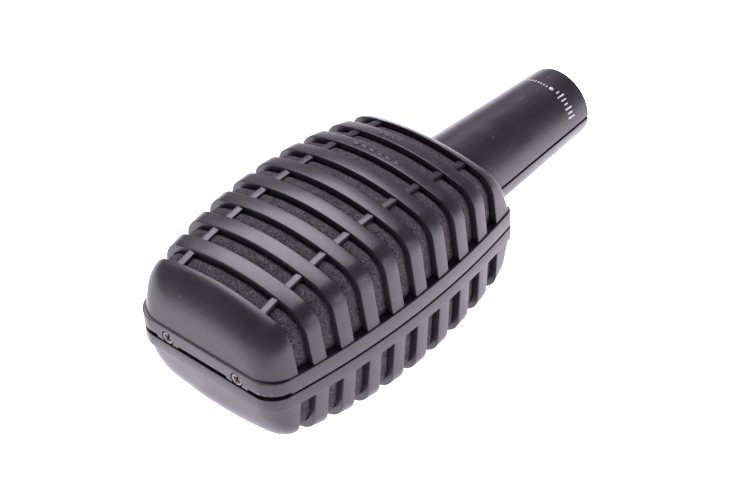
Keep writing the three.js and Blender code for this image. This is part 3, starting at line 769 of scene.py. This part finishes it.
def join_into(target, others, material_index):
    """Adds small pieces to a mesh as they are, and gives their faces one of its materials."""
    work = bmesh.new()
    work.from_mesh(target.data)
    for other in others:
        before = len(work.faces)
        work.from_mesh(other.data)
        work.faces.ensure_lookup_table()
        for face in work.faces[before:]:
            face.material_index = material_index
            face.smooth = True
        used = other.data
        bpy.data.objects.remove(other)
        bpy.data.meshes.remove(used)
    work.to_mesh(target.data)
    work.free()


def mark_edges(made):
    """Stores how sharply the surface turns outwards at each point, where the paint wears first."""
    work = bmesh.new()
    work.from_mesh(made.data)
    work.normal_update()
    turns = []
    for v in work.verts:
        slopes = [v.normal.dot((v.co - e.other_vert(v).co).normalized()) for e in v.link_edges]
        turns.append(max(0.0, sum(slopes) / max(len(slopes), 1)))
    work.free()
    made.data.attributes.new("edge", "FLOAT", "POINT").data.foreach_set("value", turns)


# Materials ---------------------------------------------------------------------------------------


def add(tree, kind, inputs=None, **settings):
    """A shader node. An input is a plain value or another node's socket."""
    made = tree.nodes.new("ShaderNode" + kind)
    for name, value in settings.items():
        setattr(made, name, value)
    for name, value in (inputs or {}).items():
        if isinstance(value, bpy.types.NodeSocket):
            tree.links.new(value, made.inputs[name])
        else:
            made.inputs[name].default_value = value
    return made


def new_material(name, color, roughness, metallic=0.0):
    """A material, its node tree, its shader and the place on the piece in millimetres."""
    made = bpy.data.materials.new(name)
    made.use_nodes = True
    made.diffuse_color = (*color, 1)
    tree = made.node_tree
    shader = tree.nodes["Principled BSDF"]
    shader.inputs["Base Color"].default_value = (*color, 1)
    shader.inputs["Roughness"].default_value = roughness
    shader.inputs["Metallic"].default_value = metallic
    where = add(tree, "TexCoord").outputs["Object"]
    where = add(tree, "VectorMath", {0: where, 1: (1 / MM,) * 3}, operation="MULTIPLY").outputs[0]
    return made, tree, shader, where


def grain(tree, where, size, detail=2.0):
    """Soft random spots of about this size in millimetres."""
    return add(tree, "TexNoise", {"Vector": where, "Scale": 1 / size, "Detail": detail}).outputs["Fac"]


def remap(tree, value, low, high, first=0.0, last=1.0):
    inputs = {"Value": value, "From Min": low, "From Max": high, "To Min": first, "To Max": last}
    return add(tree, "MapRange", inputs).outputs["Result"]


def mixed(tree, share, first, second):
    return add(tree, "Mix", {0: share, 6: first, 7: second}, data_type="RGBA").outputs[2]


def times(tree, first, second):
    return add(tree, "Math", {0: first, 1: second}, operation="MULTIPLY").outputs[0]


def larger(tree, first, second):
    return add(tree, "Math", {0: first, 1: second}, operation="MAXIMUM").outputs[0]


def stretched(tree, where, scale, turn=(0, 0, 0)):
    return add(tree, "Mapping", {"Vector": where, "Scale": scale, "Rotation": turn}).outputs["Vector"]


def connect(tree, shader, **sockets):
    for name, socket in sockets.items():
        tree.links.new(socket, shader.inputs[name.replace("_", " ")])


def bump(tree, height, depth, under=None):
    made = add(tree, "Bump", {"Height": height, "Distance": depth * MM, "Strength": 1.0})
    if under is not None:
        tree.links.new(under, made.inputs["Normal"])
    return made.outputs["Normal"]


def scratches(tree, where, turn, amount):
    """Thin broken lines; more of them the larger the amount."""
    lines = grain(tree, stretched(tree, where, (0.06, 3.5, 3.5), turn), 1.0, 1.0)
    patches = remap(tree, grain(tree, where, 11.0), 0.5, 0.62)
    return times(tree, remap(tree, lines, 0.74 - amount, 0.78 - amount), patches)


def satin_black_metal():
    made, tree, shader, where = new_material("satin_black_metal", (0.04, 0.037, 0.043), 0.4)
    fine = grain(tree, where, 0.22, 1.0)
    patch = grain(tree, where, 7.0, 4.0)
    along = add(tree, "SeparateXYZ", {0: where}).outputs["X"]
    handle = remap(tree, along, HEAD_LENGTH + ORIGIN_X, HEAD_LENGTH + ORIGIN_X + 0.4)
    paint = mixed(tree, patch, (0.017, 0.0152, 0.0185, 1), (0.030, 0.0272, 0.033, 1))
    edge = add(tree, "Attribute", attribute_name="edge").outputs["Fac"]
    ragged = remap(tree, grain(tree, where, 1.1, 4.0), 0.62, 0.66)
    rim = times(tree, remap(tree, edge, 0.2, 0.3), ragged)
    chips = times(tree, remap(tree, grain(tree, where, 0.7, 3.0), 0.75, 0.775), 0.9)
    lines = scratches(tree, where, (0.3, 0.5, 0.9), 0.008)
    more_lines = scratches(tree, where, (1.2, 0.2, -0.6), 0.004)
    rubbed = larger(tree, times(tree, lines, 0.2), times(tree, more_lines, 0.15))
    bare = larger(tree, larger(tree, rim, chips), rubbed)
    color = mixed(tree, bare, paint, (0.42, 0.40, 0.41, 1))
    head_gloss = remap(tree, patch, 0.3, 0.7, 0.3, 0.37)
    handle_gloss = remap(tree, patch, 0.3, 0.7, 0.32, 0.39)
    gloss = add(tree, "Mix", {0: handle, 2: head_gloss, 3: handle_gloss}).outputs[0]
    normal = bump(tree, fine, 0.012)
    normal = bump(tree, bare, -0.03, normal)
    connect(tree, shader, Base_Color=color, Roughness=gloss, Normal=normal)
    return made


def open_cell_foam():
    made, tree, shader, where = new_material("open_cell_foam", (0.04, 0.037, 0.039), 0.95)
    warp = add(tree, "TexNoise", {"Vector": where, "Scale": 1.4}).outputs["Color"]
    moved = add(tree, "VectorMath", {0: where, 1: warp}, operation="ADD").outputs[0]
    cells = add(tree, "TexVoronoi", {"Vector": moved, "Scale": 2.9}).outputs["Distance"]
    struts = remap(tree, cells, 0.34, 0.62)
    patch = grain(tree, where, 3.0, 3.0)
    strut = mixed(tree, patch, (0.05, 0.0455, 0.049, 1), (0.185, 0.17, 0.18, 1))
    color = mixed(tree, struts, (0.016, 0.0145, 0.016, 1), strut)
    normal = bump(tree, cells, 0.28)
    connect(tree, shader, Base_Color=color, Normal=normal)
    shader.inputs["Specular IOR Level"].default_value = 0.2
    return made


def nickel_screw():
    made, tree, shader, where = new_material("nickel_screw", (0.62, 0.58, 0.54), 0.3, 1.0)
    folded = add(tree, "VectorMath", {0: where}, operation="ABSOLUTE").outputs[0]
    flat = add(tree, "VectorMath", {0: folded, 1: (0, 1, 1)}, operation="MULTIPLY").outputs[0]
    middle = (0, SCREW_Y, SCREW_Z + PARTING_Z)
    out = add(tree, "VectorMath", {0: flat, 1: middle}, operation="DISTANCE").outputs["Value"]
    inner = remap(tree, out, 1.65, 1.4)
    spots = grain(tree, where, 0.5, 3.0)
    tarnish = times(tree, inner, remap(tree, spots, 0.3, 0.6, 0.7, 1.0))
    color = mixed(tree, tarnish, (0.26, 0.235, 0.225, 1), (0.14, 0.115, 0.105, 1))
    rust = times(tree, remap(tree, out, 1.1, 0.4), remap(tree, grain(tree, where, 0.6), 0.5, 0.6))
    color = mixed(tree, rust, color, (0.30, 0.10, 0.025, 1))
    gloss = remap(tree, larger(tree, tarnish, rust), 0, 1, 0.22, 0.6)
    normal = bump(tree, spots, 0.02)
    connect(tree, shader, Base_Color=color, Roughness=gloss, Normal=normal)
    return made


def grained(name, color, roughness, metallic, size, depth, spread=0.35):
    """A moulded, cast or drawn surface: spots of two sizes in its colour, gloss and height."""
    made, tree, shader, where = new_material(name, color, roughness, metallic)
    fine = grain(tree, where, size, 3.0)
    broad = grain(tree, where, size * 14, 3.0)
    dark = (*[c * (1 - spread) for c in color], 1)
    light = (*[min(c * (1 + spread), 1) for c in color], 1)
    connect(
        tree,
        shader,
        Base_Color=mixed(tree, broad, dark, light),
        Roughness=remap(tree, fine, 0.3, 0.7, roughness * 0.8, min(roughness * 1.2, 1)),
        Normal=bump(tree, fine, depth),
    )
    return made


def banded(name, color, roughness, metallic, pitch, depth, rings=False):
    """Turning marks or turns of wire: fine bands at a pitch, straight or round the capsule's axis."""
    made, tree, shader, where = new_material(name, color, roughness, metallic)
    centred = add(tree, "VectorMath", {0: where, 1: (CAPSULE_X + ORIGIN_X, 0, 0)}, operation="SUBTRACT")
    style = {"wave_type": "RINGS", "rings_direction": "Z"} if rings else {"bands_direction": "Z"}
    inputs = {"Vector": centred.outputs[0], "Scale": 0.314 / pitch, "Distortion": 0.3}
    wave = add(tree, "TexWave", inputs, **style).outputs["Fac"]
    patch = grain(tree, where, 2.5, 3.0)
    dark = (*[c * 0.6 for c in color], 1)
    gloss = remap(tree, patch, 0.3, 0.7, roughness * 0.8, roughness * 1.3)
    base = mixed(tree, times(tree, wave, patch), dark, (*color, 1))
    connect(tree, shader, Base_Color=base, Roughness=gloss, Normal=bump(tree, wave, depth))
    return made


def damping_cloth():
    made, tree, shader, where = new_material("damping_cloth", (0.06, 0.06, 0.065), 0.95)
    threads = []
    for direction in ("X", "Y"):
        wave = add(tree, "TexWave", {"Vector": where, "Scale": 1.0}, bands_direction=direction)
        threads.append(wave.outputs["Fac"])
    weave = larger(tree, threads[0], threads[1])
    color = mixed(tree, weave, (0.02, 0.02, 0.022, 1), (0.09, 0.09, 0.096, 1))
    connect(tree, shader, Base_Color=color, Normal=bump(tree, weave, 0.08))
    return made


def white_ink():
    made, tree, shader, where = new_material("white_ink", (0.7, 0.69, 0.71), 0.5)
    worn = remap(tree, grain(tree, where, 0.35, 3.0), 0.35, 0.6)
    color = mixed(tree, worn, (0.35, 0.34, 0.36, 1), (0.82, 0.81, 0.83, 1))
    connect(tree, shader, Base_Color=color, Normal=bump(tree, worn, 0.01))
    return made


FINISHES = {
    "satin_black_metal": satin_black_metal(),
    "nickel_screw": nickel_screw(),
    "open_cell_foam": open_cell_foam(),
    "black_plastic": grained("black_plastic", (0.02, 0.02, 0.021), 0.5, 0.0, 0.15, 0.015),
    "suspension_rubber": grained("suspension_rubber", (0.024, 0.023, 0.023), 0.8, 0.0, 0.3, 0.03),
    "magnet_steel": banded("magnet_steel", (0.45, 0.45, 0.46), 0.35, 1.0, 0.4, 0.01, rings=True),
    "copper_wire": banded("copper_wire", (0.55, 0.25, 0.12), 0.32, 1.0, 0.2, 0.03),
    "diaphragm_film": banded("diaphragm_film", (0.6, 0.52, 0.3), 0.22, 0.0, 1.4, 0.02, rings=True),
    "damping_cloth": damping_cloth(),
    "grid_metal": grained("grid_metal", (0.05, 0.05, 0.052), 0.45, 0.3, 0.3, 0.02),
    "gold_contact": grained("gold_contact", (0.72, 0.5, 0.2), 0.25, 1.0, 0.4, 0.006, 0.12),
}

# Pieces ------------------------------------------------------------------------------------------


def finish_piece(made, node, slot, *more_materials, angle=CRISP_ANGLE):
    """Gives a piece its finish, lets it stand for a CAD node and ride on the microphone."""
    dress(made, FINISHES[slot], *more_materials)
    soften(made, angle)
    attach(made, "microphone_body")
    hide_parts(node)
    return made


for row in frame["record"]["subparts"]:
    dress(frame["nodes"][row["node"]], FINISHES[row["material_slot"]])

front = finish_piece(front_shell(), "front_shell", "satin_black_metal", white_ink())
rear = finish_piece(rear_shell(), "rear_shell", "satin_black_metal")

MARK_X = 151.8
marks = []
bar_places = (15.4, 13.9, 12.4, 10.9, 9.4, 7.9, 6.4)
bar_lengths = (3.2, 2.4, 3.2, 1.6, 2.4, 3.2, 1.6)
for across, length in zip(bar_places, bar_lengths):
    marks.append(ink_bar(MARK_X, across, length, 0.5))
marks.append(ink_bar(MARK_X - 0.6, 4.2, 1.5, 1.5))
marks += [ink_bar(MARK_X - 1.0, 2.6 - 1.1 * i, 0.9, 0.5) for i in range(9)]
join_into(front, marks, 1)
pills = [raised_pill(76.8, 9.5 - 3.2 * i, 2.3, 1.5) for i in range(6)]
pills += [raised_pill(86.6, 8.6 - 2.4 * i, 1.5, 0.9) for i in range(4)]
join_into(front, pills, 0)
for shell in (front, rear):
    mark_edges(shell)

for name, side in (("front", FRONT_FLANGE), ("rear", REAR_FLANGE)):
    liner = foam(f"{name}_foam_fine", side)
    if name == "rear":
        clean(flip_to_rear(liner), merge=1e-8)
    finish_piece(liner, f"{name}_foam_liner", "open_cell_foam", angle=FOAM_CRISP_ANGLE)

for name in ("end_screw_left", "end_screw_right"):
    low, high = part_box(name)
    made = screw(f"{name}_fine", math.copysign(SCREW_Y, low.y + high.y))
    finish_piece(made, name, "nickel_screw")

finish_piece(inlet_insert(), "inlet_insert", "black_plastic")
for number, (y, z) in enumerate(pin_places(), 1):
    pin = contact_pin(f"contact_pin_{number}_fine", y, z)
    finish_piece(pin, f"contact_pin_{number}", "gold_contact")

# Studio ------------------------------------------------------------------------------------------


def floor():
    """A white table that glows, brighter to the right of the microphone: painted light, a pool of light
    painted in for a lamp there, whose glow also washes out the head's shadow.
    """
    size = 3.0
    low = cad_box[0].z - 0.0002
    corners = [(-size, -size, low), (size, -size, low), (size, size, low), (-size, size, low)]
    mesh = bpy.data.meshes.new("floor")
    mesh.from_pydata(corners, [], [(0, 1, 2, 3)])
    made = bpy.data.objects.new("floor", mesh)
    bpy.context.scene.collection.objects.link(made)
    white, tree, shader, where = new_material("white_table_painted_glow", (0.9, 0.9, 0.9), 0.6)
    along = add(tree, "VectorMath", {0: where, 1: (0.0045, -0.0045, 0)}, operation="DOT_PRODUCT")
    # Painted light: the table's emission rises towards +X -Y in place of a lamp's pool of light.
    painted_lamp_glow = remap(tree, along.outputs["Value"], -0.8, 0.8, 1.5, 2.0)
    shader.inputs["Emission Color"].default_value = (1.0, 0.935, 1.07, 1)
    connect(tree, shader, Emission_Strength=painted_lamp_glow)
    mesh.materials.append(white)


def area_light(name, azimuth, elevation, distance, size, power, color=(1, 1, 1)):
    """A square soft light aimed at the head; azimuth is measured from +X towards +Y."""
    data = bpy.data.lights.new(name, "AREA")
    data.shape = "SQUARE"
    data.size = size
    data.energy = power
    data.color = color
    made = bpy.data.objects.new(name, data)
    a, e = math.radians(azimuth), math.radians(elevation)
    direction = Vector((math.cos(a) * math.cos(e), math.sin(a) * math.cos(e), math.sin(e)))
    made.location = place((60, 0, 0)) + direction * distance
    made.rotation_mode = "QUATERNION"
    made.rotation_quaternion = direction.to_track_quat("Z", "Y")
    bpy.context.scene.collection.objects.link(made)


def world():
    """A dim room: darkest overhead, lighter towards the walls."""
    made = bpy.data.worlds.new("studio")
    made.use_nodes = True
    tree = made.node_tree
    height = add(tree, "SeparateXYZ", {0: add(tree, "TexCoord").outputs["Generated"]}).outputs["Z"]
    background = tree.nodes["Background"]
    tree.links.new(remap(tree, height, 0.0, 0.6, 0.55, 0.13), background.inputs["Strength"])
    background.inputs["Color"].default_value = (0.98, 0.92, 1.03, 1)
    bpy.context.scene.world = made


def camera():
    """Stands off the free end, looks down along the head, and leans a little to one side."""
    data = bpy.data.cameras.new("camera")
    data.lens = 105.86
    data.clip_end = 20
    made = bpy.data.objects.new("camera", data)
    bpy.context.scene.collection.objects.link(made)
    made.location = place((-291.95, -359.07, 414.66))
    forward = Vector((0.55024, 0.54302, -0.63432)).normalized()
    level = forward.cross(Vector((0, 0, 1))).normalized()
    roll = math.radians(-3.87)
    right = level * math.cos(roll) + level.cross(forward) * math.sin(roll)
    up = right.cross(forward)
    made.rotation_mode = "QUATERNION"
    made.rotation_quaternion = Matrix((right, up, -forward)).transposed().to_quaternion()
    bpy.context.scene.camera = made


floor()
world()
area_light("back_softbox", 64, 60, 1.2, 0.9, 19.5, (0.99, 0.92, 1.1))
area_light("side_softbox", -72, 16, 1.2, 0.5, 2.6, (0.99, 0.93, 1.08))
camera()
bpy.context.scene.view_settings.view_transform = "Standard"
